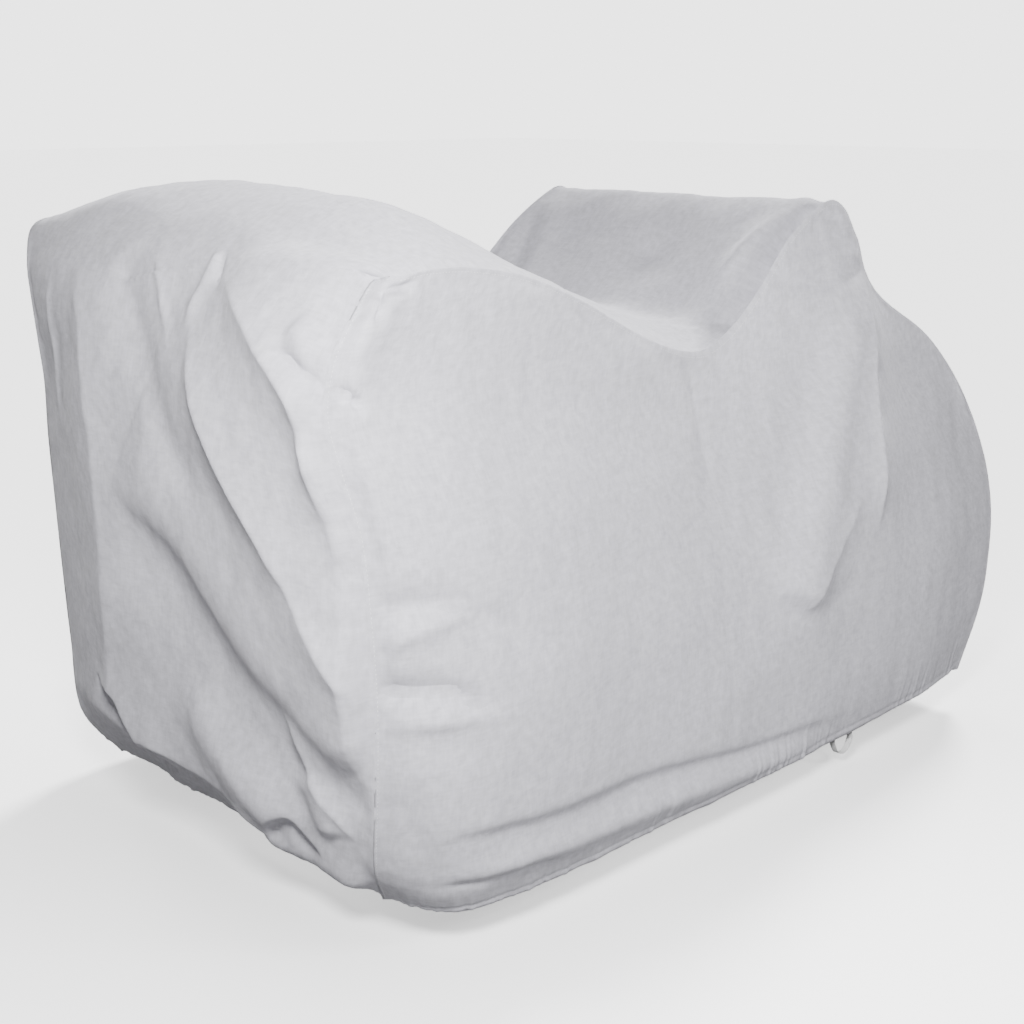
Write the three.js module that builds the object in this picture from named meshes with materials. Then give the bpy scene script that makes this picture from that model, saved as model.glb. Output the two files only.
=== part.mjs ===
// A fitted vehicle cover of grey cloth, hollow and open below, in the shape in which it hangs.
// A centre panel runs from the rear hem over the top to the front hem, and a side panel is sewn to each
// of its edges. A short tape loop hangs at the right hem.
// Millimetres, +X to the front, +Y to the left, +Z up. Heights in the tables are above the ground.
// The finished group is lowered so that its origin is the point under the top that holds the cover up.

import * as THREE from 'three';

// Driving sizes
const CLOTH = 2; // thickness of the cloth
const SEAM_SHIFT = 1; // how far the edge of each panel stays back from the seam line
const HOLD_HEIGHT = 1035; // height of the holding point, just under the centre panel near the dip
const SIDE_BULGE = 52; // how far a side panel swells between its seams and its hem
const SIDE_BULGE_RAMP = 0.18; // share of the panel's length in which the swelling grows from each end
const END_DECAY = 4; // how fast the form of the rear and front seams dies away along a side panel
const SEAM_CALM = 75; // width beside a seam in which the folds die away
const REAR_REACH = 110; // length past the ear in which the folds of the rear end die away
const FRONT_REACH = 160; // length before the nose in which the folds of the front end begin

// Divisions of the panels
const RISE_STEPS = 20; // from the hem to the ear, and from the hem to the nose
const RUN_STEPS = 32; // from the ear along the top to the nose
const CROSS_STEPS = 24; // across the centre panel

// Tape loop
const TAPE_WIDTH = 15;
const TAPE_THICKNESS = 1.2;
const TAPE_REAR_X = 326; // where the rear leg leaves the hem
const TAPE_FRONT_X = 392; // where the front leg leaves the hem
const TAPE_TUCK = 14; // length of each leg behind the hem
const TAPE_DROP = 34; // how far the loop hangs below the hem
const TAPE_INSET = 10; // from the outer face of the hem to the tape
const TAPE_STEPS = 24;

// Sections of the centre panel, in order from the rear hem to the front hem.
// x, half, z: the right seam, with half the panel's width. spineX, spineZ: the middle of the section.
// square: 2 is a round section and 4 a squarer one.
// leftShift, leftLift: how far the left seam stands forward of and above the right one.
const SECTIONS = table(['x', 'half', 'z', 'spineX', 'spineZ', 'square', 'leftShift', 'leftLift'], [
  [-866, 456, 78, -850, 78, 4, 30, 8],
  [-932, 512, 180, -946, 190, 4, 40, 0],
  [-956, 548, 330, -970, 330, 4, 70, 0],
  [-962, 560, 500, -985, 500, 4, 74, 0],
  [-968, 556, 650, -990, 650, 4, 72, 0],
  [-975, 545, 780, -992, 790, 4, 68, 0],
  [-1000, 525, 900, -992, 900, 4, 82, 0],
  [-1012, 515, 975, -988, 985, 4, 82, 0],
  [-996, 516, 1060, -980, 1070, 4, 58, 4],
  [-966, 528, 1124, -968, 1140, 4, 30, 16],
  [-956, 570, 1188, -945, 1200, 4, 58, 16],
  [-868, 534, 1180, -890, 1258, 4, 12, 42],
  [-800, 520, 1182, -815, 1292, 4, 20, 30],
  [-700, 508, 1176, -715, 1302, 4, 20, 16],
  [-550, 490, 1150, -555, 1250, 3, 20, -6],
  [-390, 472, 1096, -390, 1177, 2.5, 20, -16],
  [-155, 450, 992, -130, 1090, 2.2, 0, -12],
  [17, 435, 951, 60, 1028, 2.2, 0, 0],
  [120, 432, 985, 170, 1005, 2.2, 0, 0],
  [212, 430, 1058, 250, 1050, 2.2, 8, 0],
  [324, 424, 1165, 345, 1132, 2.2, 12, -8],
  [430, 418, 1223, 440, 1215, 2.2, 6, -4],
  [494, 415, 1238, 496, 1239, 2.2, 0, 0],
  [546, 418, 1206, 546, 1206, 2.2, 0, 0],
  [656, 425, 1032, 650, 1050, 3, 0, 0],
  [851, 460, 902, 840, 925, 3, 0, 0],
  [944, 500, 775, 955, 800, 3, 0, 0],
  [1024, 530, 605, 1032, 620, 3, 0, 0],
  [1024, 560, 471, 1042, 480, 3, 0, 0],
  [990, 578, 328, 1025, 335, 3, 0, 0],
  [964, 578, 230, 1000, 235, 3, 0, 0],
  [912, 562, 85, 945, 85, 3, 0, 0],
]);
const EAR_SECTION = 10; // where the rear end turns into the top
const NOSE_SECTION = 26; // where the top turns into the front end

// Hem of a side panel from the rear seam to the front seam; half is its distance from the middle.
const HEM = table(['x', 'half', 'z'], [
  [-866, 456, 78],
  [-852, 520, 72],
  [-815, 575, 66],
  [-740, 604, 64],
  [-570, 612, 66],
  [-200, 612, 68],
  [200, 606, 68],
  [600, 592, 72],
  [800, 578, 78],
  [880, 568, 82],
  [912, 562, 85],
]);

// Folds run from (a0, b0) to (a1, b1) in a flat view of their panel, bowed sideways in the middle.
// A lap is raised on one side of its line and sunk on the other.
const FOLD_COLUMNS = ['kind', 'a0', 'b0', 'a1', 'b1', 'bow', 'width', 'height'];

// Rear end of the centre panel: a is y and b is z.
const REAR_FOLDS = table(FOLD_COLUMNS, [
  ['tent', 300, 1215, 290, 220, 35, 250, 26], // upright edge near the left corner
  ['lap', -130, 1205, -515, 925, 0, 80, 30], // from the peak down to the right seam
  ['lap', -60, 1120, -590, 400, -22, 90, 28], // long diagonal below it
  ['lap', 140, 790, -570, 290, -26, 75, 28], // broad low diagonal
  ['trough', -280, 480, -500, 190, 0, 40, 14], // its fork towards the hem
  ['trough', 150, 1190, -200, 720, 0, 60, 10], // soft hollow below the top edge
  ['trough', 230, 330, 60, 120, 0, 55, 30], // pocket at the left end of the hem
]);

// Front end of the centre panel: a is y and b is z.
const FRONT_FOLDS = table(FOLD_COLUMNS, [
  ['trough', -420, 760, -150, 240, 25, 60, 14], // diagonals drawn in from the nose corners to the hem
  ['trough', 440, 720, 120, 210, -25, 65, 16],
  ['ridge', 30, 640, -20, 180, 0, 90, 10], // soft upright swelling between them
]);

// Right side panel: a is x and b is z.
const RIGHT_FOLDS = table(FOLD_COLUMNS, [
  ['trough', -930, 215, 360, 95, 25, 34, 15], // long fold above the hem
  ['ridge', -900, 140, 120, 80, 20, 40, 8], // cloth that rolls between this fold and the hem
  ['trough', -980, 600, -700, 665, 0, 28, 11], // short folds that start at the rear seam
  ['trough', -980, 530, -800, 505, 0, 32, 12],
  ['ridge', 525, 1200, 110, 440, -45, 70, 20], // drawn down from the front peak
  ['trough', 640, 1080, 440, 560, -20, 75, 24], // hollow in front of it
  ['trough', 90, 445, 450, 445, 0, 40, 9], // notch at its foot
]);

// Left side panel: a is x and b is z.
const LEFT_FOLDS = table(FOLD_COLUMNS, [
  ['trough', -820, 190, 520, 130, 18, 36, 14], // long fold above the hem
  ['ridge', 515, 1200, 210, 500, -35, 75, 18], // drawn down from the front peak
  ['trough', 640, 1080, 500, 560, -20, 75, 20], // hollow in front of it
  ['trough', -880, 900, -560, 430, 20, 60, 12], // diagonal from the rear corner
  ['trough', -120, 900, -40, 480, 0, 70, 9], // hollow under the dip
]);

const FOLD_PROFILES = {
  ridge: (d) => Math.exp(-d * d),
  trough: (d) => -Math.exp(-d * d),
  tent: (d) => Math.max(0, 1 - Math.abs(d)),
  lap: (d) => Math.tanh(6 * d) * Math.exp(-Math.abs(d)) * (d > 0 ? 1 : 0.6),
};
const FOLD_FADE = 0.22; // share of a fold's length in which it grows from each end

// Rows of numbers to rows with named columns
function table(columns, rows) {
  return rows.map((row) => Object.fromEntries(columns.map((column, i) => [column, row[i]])));
}

// Distance along a table's points from its first row to each row
function distancesAlong(rows) {
  const distances = [0];
  for (let i = 1; i < rows.length; i++) {
    const step = Math.hypot(
      rows[i].x - rows[i - 1].x,
      rows[i].half - rows[i - 1].half,
      rows[i].z - rows[i - 1].z,
    );
    distances.push(distances[i - 1] + step);
  }
  return distances;
}

const SECTION_AT = distancesAlong(SECTIONS);
const HEM_AT = distancesAlong(HEM);
const PANEL_END = SECTION_AT.at(-1);
const EAR_AT = SECTION_AT[EAR_SECTION];
const NOSE_AT = SECTION_AT[NOSE_SECTION];

// Smooth curve through all the columns of a table
function smoothRow(rows, distances, at) {
  const last = rows.length - 1;
  let i = 0;
  while (i < last - 1 && at > distances[i + 1]) i++;
  const span = distances[i + 1] - distances[i];
  const t = THREE.MathUtils.clamp((at - distances[i]) / span, 0, 1);
  const result = {};
  for (const column of Object.keys(rows[0])) {
    const slope = (k) => {
      const before = Math.max(k - 1, 0);
      const after = Math.min(k + 1, last);
      return (rows[after][column] - rows[before][column]) / (distances[after] - distances[before]);
    };
    result[column] =
      rows[i][column] * (2 * t ** 3 - 3 * t ** 2 + 1) +
      slope(i) * span * (t ** 3 - 2 * t ** 2 + t) +
      rows[i + 1][column] * (3 * t ** 2 - 2 * t ** 3) +
      slope(i + 1) * span * (t ** 3 - t ** 2);
  }
  return result;
}

// Point of a seam; side is -1 for the right and 1 for the left
function seamPoint(at, side) {
  const row = smoothRow(SECTIONS, SECTION_AT, at);
  const left = side > 0 ? 1 : 0;
  return new THREE.Vector3(row.x + left * row.leftShift, side * row.half, row.z + left * row.leftLift);
}

// Point of a side panel's hem at a share of its length; it starts and ends on the seams
function hemPoint(share, side) {
  const row = smoothRow(HEM, HEM_AT, share * HEM_AT.at(-1));
  const start = new THREE.Vector3(HEM[0].x, side * HEM[0].half, HEM[0].z);
  const point = new THREE.Vector3(row.x, side * row.half, row.z);
  return point.addScaledVector(seamPoint(0, side).sub(start), (1 - share) ** END_DECAY);
}

// Point of the centre panel without folds; across goes from -1 at the right seam to 1 at the left
function centrePoint(at, across) {
  const row = smoothRow(SECTIONS, SECTION_AT, at);
  const right = seamPoint(at, -1);
  const left = seamPoint(at, 1);
  const middle = right.clone().lerp(left, 0.5);
  const bow = new THREE.Vector3(row.spineX, 0, row.spineZ).sub(middle);
  const share = 1 - Math.abs(across) ** row.square;
  return right.lerp(left, (across + 1) / 2).addScaledVector(bow, share);
}

// Point of a side panel without folds; run goes from the rear seam to the front seam, rise from the hem up.
// Straight lines from the hem to the top seam are drawn out to the rear and front seams near each end.
function sidePoint(run, rise, side) {
  const top = (share) => seamPoint(THREE.MathUtils.lerp(EAR_AT, NOSE_AT, share), side);
  const straight = (share) => hemPoint(share, side).lerp(top(share), rise);
  const rear = seamPoint(rise * EAR_AT, side).sub(straight(0));
  const front = seamPoint(THREE.MathUtils.lerp(PANEL_END, NOSE_AT, rise), side).sub(straight(1));
  const point = straight(run)
    .addScaledVector(rear, (1 - run) ** END_DECAY)
    .addScaledVector(front, run ** END_DECAY);
  const ramp = THREE.MathUtils.smoothstep(Math.min(run, 1 - run), 0, SIDE_BULGE_RAMP);
  point.y += side * SIDE_BULGE * ramp * Math.sin(Math.PI * rise ** 0.85);
  return point;
}

// Height of one fold above its panel at the point (a, b)
function foldHeight(fold, a, b) {
  const da = fold.a1 - fold.a0;
  const db = fold.b1 - fold.b0;
  const length = Math.hypot(da, db);
  const along = ((a - fold.a0) * da + (b - fold.b0) * db) / length ** 2;
  const aside = ((a - fold.a0) * db - (b - fold.b0) * da) / length;
  const fromLine = aside - fold.bow * 4 * along * (1 - along);
  const fade =
    THREE.MathUtils.smoothstep(along, 0, FOLD_FADE) * THREE.MathUtils.smoothstep(1 - along, 0, FOLD_FADE);
  return fold.height * fade * FOLD_PROFILES[fold.kind](fromLine / fold.width);
}

function foldsHeight(folds, a, b) {
  return folds.reduce((sum, fold) => sum + foldHeight(fold, a, b), 0);
}

// Grid of points, one list for each step of the first direction
function gridOf(firstCount, secondCount, pointAt) {
  return Array.from({ length: firstCount + 1 }, (_, i) =>
    Array.from({ length: secondCount + 1 }, (_, j) => pointAt(i, j)),
  );
}

// Normals of a grid, weighted by the area around each point; turn, 1 or -1, says which way is out
function gridNormals(grid, turn) {
  const lastI = grid.length - 1;
  const lastJ = grid[0].length - 1;
  const normals = gridOf(lastI, lastJ, () => new THREE.Vector3());
  for (let i = 0; i < lastI; i++) {
    for (let j = 0; j < lastJ; j++) {
      const rising = grid[i + 1][j + 1].clone().sub(grid[i][j]);
      const falling = grid[i][j + 1].clone().sub(grid[i + 1][j]);
      const area = rising.cross(falling).multiplyScalar(turn);
      for (const [di, dj] of [[0, 0], [1, 0], [1, 1], [0, 1]]) normals[i + di][j + dj].add(area);
    }
  }
  normals.flat().forEach((normal) => normal.normalize());
  return normals;
}

// Grid moved out along its normals by the height at each point
function foldedGrid(grid, normals, heightAt) {
  return gridOf(grid.length - 1, grid[0].length - 1, (i, j) =>
    grid[i][j].clone().addScaledVector(normals[i][j], heightAt(grid[i][j], i, j)),
  );
}

// Distance along the centre panel of each row of its grid, which the side panels share at the seams
function rowDistance(i) {
  if (i <= RISE_STEPS) return (EAR_AT * i) / RISE_STEPS;
  const k = i - RISE_STEPS;
  if (k <= RUN_STEPS) return THREE.MathUtils.lerp(EAR_AT, NOSE_AT, k / RUN_STEPS);
  return THREE.MathUtils.lerp(NOSE_AT, PANEL_END, (k - RUN_STEPS) / RISE_STEPS);
}

const PANEL_ROWS = 2 * RISE_STEPS + RUN_STEPS;

function centreGrid() {
  const plain = gridOf(PANEL_ROWS, CROSS_STEPS, (i, j) =>
    centrePoint(rowDistance(i), (2 * j) / CROSS_STEPS - 1),
  );
  return foldedGrid(plain, gridNormals(plain, 1), (point, i) => {
    const at = rowDistance(i);
    const half = smoothRow(SECTIONS, SECTION_AT, at).half;
    const calm = THREE.MathUtils.smoothstep(half - Math.abs(point.y), 0, SEAM_CALM);
    const rear = 1 - THREE.MathUtils.smoothstep(at, EAR_AT, EAR_AT + REAR_REACH);
    const front = THREE.MathUtils.smoothstep(at, NOSE_AT - FRONT_REACH, NOSE_AT);
    const height =
      rear * foldsHeight(REAR_FOLDS, point.y, point.z) + front * foldsHeight(FRONT_FOLDS, point.y, point.z);
    return calm * height;
  });
}

function sideGrid(side, folds) {
  const plain = gridOf(RUN_STEPS, RISE_STEPS, (i, j) => sidePoint(i / RUN_STEPS, j / RISE_STEPS, side));
  const top = plain.map((column) => column.at(-1));
  return foldedGrid(plain, gridNormals(plain, -side), (point, i, j) => {
    const fromRear = point.distanceTo(plain[0][j]);
    const fromFront = point.distanceTo(plain[RUN_STEPS][j]);
    const fromTop = point.distanceTo(top[i]);
    const calm = THREE.MathUtils.smoothstep(Math.min(fromRear, fromFront, fromTop), 0, SEAM_CALM);
    return calm * foldsHeight(folds, point.x, point.z);
  });
}

// Seam line of a side panel's grid in the order of the centre panel's rows
function seamCells() {
  const cells = [];
  for (let j = 0; j <= RISE_STEPS; j++) cells.push([0, j]);
  for (let i = 1; i <= RUN_STEPS; i++) cells.push([i, RISE_STEPS]);
  for (let j = RISE_STEPS - 1; j >= 0; j--) cells.push([RUN_STEPS, j]);
  return cells;
}

// Inner corner of a seam, one cloth thickness inside both panels
function mitre(point, normalA, normalB) {
  const stretch = Math.max(1 + normalA.dot(normalB), 0.5);
  return point.clone().addScaledVector(normalA.clone().add(normalB), -CLOTH / stretch);
}

function innerGrid(outer, normals) {
  return gridOf(outer.length - 1, outer[0].length - 1, (i, j) =>
    outer[i][j].clone().addScaledVector(normals[i][j], -CLOTH),
  );
}

// Point of a panel's edge moved back from the seam towards its neighbour in the panel
function backFromSeam(edgePoint, neighbour) {
  const way = neighbour.clone().sub(edgePoint).normalize();
  return edgePoint.clone().addScaledVector(way, SEAM_SHIFT);
}

// Closed sheet between an outer and an inner grid
function sheetGeometry(outer, inner, turn) {
  const countI = outer.length;
  const countJ = outer[0].length;
  const positions = [];
  for (const grid of [outer, inner]) {
    for (const line of grid) {
      for (const point of line) positions.push(point.x, point.y, point.z);
    }
  }
  const inside = countI * countJ;
  const index = [];
  const quad = (a, b, c, d) => {
    if (turn > 0) index.push(a, b, c, a, c, d);
    else index.push(a, c, b, a, d, c);
  };
  const at = (i, j) => i * countJ + j;
  for (let i = 0; i < countI - 1; i++) {
    for (let j = 0; j < countJ - 1; j++) {
      quad(at(i, j), at(i + 1, j), at(i + 1, j + 1), at(i, j + 1));
      quad(
        inside + at(i, j),
        inside + at(i, j + 1),
        inside + at(i + 1, j + 1),
        inside + at(i + 1, j),
      );
    }
  }
  const rim = [];
  for (let i = 0; i < countI - 1; i++) rim.push(at(i, 0));
  for (let j = 0; j < countJ - 1; j++) rim.push(at(countI - 1, j));
  for (let i = countI - 1; i > 0; i--) rim.push(at(i, countJ - 1));
  for (let j = countJ - 1; j > 0; j--) rim.push(at(0, j));
  rim.forEach((from, k) => {
    const to = rim[(k + 1) % rim.length];
    quad(from, inside + from, inside + to, to);
  });
  const geometry = new THREE.BufferGeometry();
  geometry.setAttribute('position', new THREE.Float32BufferAttribute(positions, 3));
  geometry.setIndex(index);
  geometry.computeVertexNormals();
  return geometry;
}

// The three panels, with their edges mitred where they meet
function panelGeometries() {
  const centre = centreGrid();
  const centreNormals = gridNormals(centre, 1);
  const centreInner = innerGrid(centre, centreNormals);
  const sides = [-1, 1].map((side) => {
    const grid = sideGrid(side, side < 0 ? RIGHT_FOLDS : LEFT_FOLDS);
    const normals = gridNormals(grid, -side);
    return { side, grid, normals, inner: innerGrid(grid, normals) };
  });
  for (const { side, grid, normals, inner } of sides) {
    const edge = side < 0 ? 0 : CROSS_STEPS;
    const next = side < 0 ? 1 : CROSS_STEPS - 1;
    const moves = seamCells().map(([i, j], row) => {
      const point = grid[i][j];
      const corner = mitre(point, centreNormals[row][edge], normals[i][j]);
      const nearI = THREE.MathUtils.clamp(i, 1, RUN_STEPS - 1);
      const nearJ = Math.min(j, RISE_STEPS - 1);
      return {
        i,
        j,
        row,
        centreOuter: backFromSeam(point, centre[row][next]),
        centreInner: backFromSeam(corner, centreInner[row][next]),
        sideOuter: backFromSeam(point, grid[nearI][nearJ]),
        sideInner: backFromSeam(corner, inner[nearI][nearJ]),
      };
    });
    for (const move of moves) {
      centre[move.row][edge] = move.centreOuter;
      centreInner[move.row][edge] = move.centreInner;
      grid[move.i][move.j] = move.sideOuter;
      inner[move.i][move.j] = move.sideInner;
    }
  }
  return {
    centre: sheetGeometry(centre, centreInner, 1),
    right: sheetGeometry(sides[0].grid, sides[0].inner, 1),
    left: sheetGeometry(sides[1].grid, sides[1].inner, -1),
  };
}

// Flat tape bent to a hanging loop, its two legs tucked behind the right hem
function tapeGeometry() {
  const middleX = (TAPE_REAR_X + TAPE_FRONT_X) / 2;
  const hemRow = HEM.reduce((best, row) =>
    Math.abs(row.x - middleX) < Math.abs(best.x - middleX) ? row : best,
  );
  const top = hemRow.z + TAPE_TUCK;
  const bottom = hemRow.z - TAPE_DROP;
  const path = new THREE.CatmullRomCurve3(
    [
      new THREE.Vector3(TAPE_REAR_X, top, 0),
      new THREE.Vector3(TAPE_REAR_X + 2, hemRow.z - 2, 0),
      new THREE.Vector3(THREE.MathUtils.lerp(TAPE_REAR_X, TAPE_FRONT_X, 0.3), bottom + 5, 0),
      new THREE.Vector3(THREE.MathUtils.lerp(TAPE_REAR_X, TAPE_FRONT_X, 0.68), bottom, 0),
      new THREE.Vector3(TAPE_FRONT_X + 3, hemRow.z - 12, 0),
      new THREE.Vector3(TAPE_FRONT_X, top, 0),
    ],
    false,
    'centripetal',
  );
  const outline = [];
  for (const way of [1, -1]) {
    const face = [];
    for (let k = 0; k <= TAPE_STEPS; k++) {
      const point = path.getPoint(k / TAPE_STEPS);
      const tangent = path.getTangent(k / TAPE_STEPS);
      const offset = (way * TAPE_THICKNESS) / 2;
      face.push(new THREE.Vector2(point.x - tangent.y * offset, point.y + tangent.x * offset));
    }
    outline.push(...(way > 0 ? face : face.reverse()));
  }
  const geometry = new THREE.ExtrudeGeometry(new THREE.Shape(outline), {
    depth: TAPE_WIDTH,
    bevelEnabled: false,
  });
  geometry.rotateX(Math.PI / 2);
  geometry.translate(0, -hemRow.half + TAPE_INSET + TAPE_WIDTH, 0);
  return geometry;
}

const cloth = new THREE.MeshStandardMaterial({ color: 0xc6c6ca, roughness: 0.9, metalness: 0 });
const tape = new THREE.MeshStandardMaterial({ color: 0xe4e4e4, roughness: 0.8, metalness: 0 });

function named(name, geometry, material) {
  const mesh = new THREE.Mesh(geometry, material);
  mesh.name = name;
  return mesh;
}

const panels = panelGeometries();
const cover = new THREE.Group();
cover.add(
  named('centre_panel', panels.centre, cloth),
  named('side_panel_right', panels.right, cloth),
  named('side_panel_left', panels.left, cloth),
  named('tape_loop', tapeGeometry(), tape),
);
cover.position.z = -HOLD_HEIGHT;

const part = new THREE.Group();
part.add(cover);

export default part;
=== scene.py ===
import math
from collections import namedtuple

import bpy
import numpy as np
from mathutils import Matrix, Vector


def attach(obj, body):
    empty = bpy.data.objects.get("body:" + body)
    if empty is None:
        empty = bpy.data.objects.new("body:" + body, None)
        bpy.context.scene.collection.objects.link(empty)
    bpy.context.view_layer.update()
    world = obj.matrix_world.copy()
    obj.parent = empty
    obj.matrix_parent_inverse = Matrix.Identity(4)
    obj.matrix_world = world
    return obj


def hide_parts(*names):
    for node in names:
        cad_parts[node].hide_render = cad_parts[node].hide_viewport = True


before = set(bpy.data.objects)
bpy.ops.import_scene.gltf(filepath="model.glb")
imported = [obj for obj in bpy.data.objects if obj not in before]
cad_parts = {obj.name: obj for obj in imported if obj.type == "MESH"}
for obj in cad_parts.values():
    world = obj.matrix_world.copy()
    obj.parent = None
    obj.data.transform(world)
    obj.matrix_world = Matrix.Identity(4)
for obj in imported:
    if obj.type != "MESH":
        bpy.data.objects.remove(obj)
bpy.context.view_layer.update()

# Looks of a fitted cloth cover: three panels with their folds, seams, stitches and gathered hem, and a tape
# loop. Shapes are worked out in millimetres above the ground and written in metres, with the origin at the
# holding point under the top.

MM_PER_M = 1000
TINY = 1e-9  # least length that a vector is divided by

# Sizes shared with the solids
HOLD_HEIGHT = 1035
SIDE_BULGE = 52
SIDE_BULGE_RAMP = 0.18
SIDE_BULGE_SKEW = 0.85  # below 1 the swell of a side is fullest under half its height
END_DECAY = 4
REAR_REACH = 110
FRONT_REACH = 160
TAPE_WIDTH = 15
TAPE_THICKNESS = 1.2
TAPE_REAR_X = 326
TAPE_FRONT_X = 392
TAPE_TUCK = 14
TAPE_DROP = 34
TAPE_INSET = 10

# Tape: bends between its ends, as distances ahead of the rear end and above the hem; points along and across
# it; ribs of its weave
TAPE_BENDS = [(2, -2), (19.8, 5 - TAPE_DROP), (44.88, -TAPE_DROP), (69, -12)]
TAPE_STATIONS = 97
TAPE_LINES = 13
TAPE_RIBS = 3
TAPE_RIB_HEIGHT = 0.12
TAPE_SHARP_ANGLE = 45

# Cloth
CLOTH = 2.2
SEAM_CALM = 26  # width beside a seam in which a side panel's folds die away
CENTRE_CALM = 40  # the same on the centre panel
SEAM_BACK = 0.12  # how far an edge stays back from the seam line
SEAM_LINE_WIDTH = 3.2
RIM_BLEND = 8  # width beside a seam in which the sheet's thickness turns to the seam's way out
WAY_STEP = 1.0  # distance along a seam at which its direction is measured
WAY_INWARD = 0.97  # place across the centre panel at which its slope beside a seam is measured
PUCKER_HEIGHT = 0.5
PUCKER_LENGTH = 55
PUCKER_REACH = 22
HEM_ROLL = 9
HEM_ROLL_WIDTH = 9
HEM_CASING = 26  # height of the casing above the hem
CASING_DEPTH = 1.6
CASING_WIDTH = 5
GATHER_HEIGHT = 2.4
GATHER_LENGTH = 22
GATHER_REACH = 45
GATHER_PATCH = 420  # length over which the gathers grow and die away
GATHER_START = (2, 14)  # distances above the hem between which they set in

# Uneven swell of the cloth: heights of the long and the short waves, their lengths on the centre panel and
# on a side, and how they are mixed
LONG_SWELL = 2.0
SHORT_SWELL = 0.5
CENTRE_SWELL_LENGTHS = (260, 70)
SIDE_SWELL_LENGTHS = (300, 75)
RIPPLE_WAVES = 16
RIPPLE_SPREAD = (0.7, 1.5)
WAVE_SHARES = (0.72, 1.0, 1.37, 1.9)

# Seeds of the uneven patterns
CENTRE_SWELL_SEED = 11
CENTRE_PUCKER_SEED = 20
REAR_HEM_SEED = 31
FRONT_HEM_SEED = 41
RIGHT_SEED = 50
LEFT_SEED = 70
SIDE_HEM_OFFSET = 2  # added to a side's seed for its hem
SIDE_PUCKER_OFFSET = 5  # added to it for its puckers

# Stitches
STITCH_PITCH = 8.0
STITCH_LENGTH = 5.2
STITCH_WIDTH = 1.3
STITCH_HEIGHT = 0.7
STITCH_RING = 2  # line of the side panel's grid, counted from the seam, that the stitches follow

# Squares of the grids, and the places along them with the sizes of their steps there
CENTRE_REAR_ROWS = 210
CENTRE_TOP_ROWS = 192
CENTRE_FRONT_ROWS = 60
CENTRE_COLUMNS = 177
CENTRE_SPACING = ([0, 0.03, 0.1, 0.9, 0.97, 1], [0.5, 0.6, 1, 1, 0.6, 0.5])
SIDE_COLUMNS = 480
SIDE_RUN_SPACING = ([0, 0.02, 0.05, 0.95, 0.98, 1], [0.5, 0.6, 1, 1, 0.6, 0.5])
SIDE_ROWS = 153
SIDE_RISE_SPACING = ([0, 0.1, 0.3, 0.85, 0.97, 1], [0.35, 0.5, 1.2, 1.2, 0.6, 0.45])
INNER_STEP = 3  # outer squares to one inner square
CREASE_STEPS = 5  # straight pieces of a crease's line for each of its points
CREASE_REACH = 4  # widths of a crease beyond which it is left out

# Cloth's colours; scale and detail of its noise patterns; shares of these in its colour and its relief
CLOTH_DARK = (0.492, 0.486, 0.53, 1)
CLOTH_LIGHT = (0.625, 0.617, 0.672, 1)
MOTTLE_FROM = 0.38
MOTTLE_TO = 0.62
WARP_NOISE = ((36, 210, 1), 3)
WEFT_NOISE = ((210, 36, 1), 3)
CLOUD_NOISE = ((60, 60, 1), 6)
FIBRE_NOISE = ((900, 900, 1), 2)
HATCH_COLOUR = 0.25
CLOUD_COLOUR = 0.5
HATCH_RELIEF = 0.6
FIBRE_RELIEF = 0.25

# Colours and patterns of the tape and the thread
TAPE_DARK = (0.74, 0.74, 0.74, 1)
TAPE_LIGHT = (0.86, 0.86, 0.86, 1)
TAPE_WEAVE_SCALE = 420
THREAD_DARK = (0.7, 0.7, 0.72, 1)
THREAD_LIGHT = (0.9, 0.9, 0.9, 1)
THREAD_SCALE = 900
WHITE = (1, 1, 1, 1)

# Floor and studio, in metres. The floor looks pale to the camera but sends little light back to the cloth.
# Its glow, which only the camera sees, is dimmed near the cover into a painted shadow.
FLOOR_Z = -HOLD_HEIGHT / MM_PER_M
FLOOR_HALF = 40.0
FLOOR_SENT = (0.25, 0.25, 0.25, 1)
FLOOR_SEEN = (0.9, 0.9, 0.9, 1)
FLOOR_GLOW = 1.5
FLOOR_SHADE_REACH = 0.6
FLOOR_SHADE_SAMPLES = 2
BACKDROP_GLOW = 3.3

# Lights: soft boxes with their places and powers; suns with azimuth, elevation, spread and strength
BOX_SIZE = 0.6
BOX_AIM = (-0.5, -0.4, -0.2)
SOFT_BOXES = [("key_box", (-2.05, -1.65, 0.95), 130), ("side_box", (0.25, -2.3, 0.35), 28)]
SUNS = [("front_light", 112, 40, 12, 7.5), ("far_light", 165, 14, 20, 3.0)]

# Camera
CAMERA_HEIGHT = 1.463  # above the ground
CAMERA_PLACE = (-2.58, -2.487, CAMERA_HEIGHT - HOLD_HEIGHT / MM_PER_M)
CAMERA_PITCH = 14.3
CAMERA_AZIMUTH = -45
CAMERA_LENS = 57.41
CAMERA_SENSOR = 36

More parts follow.
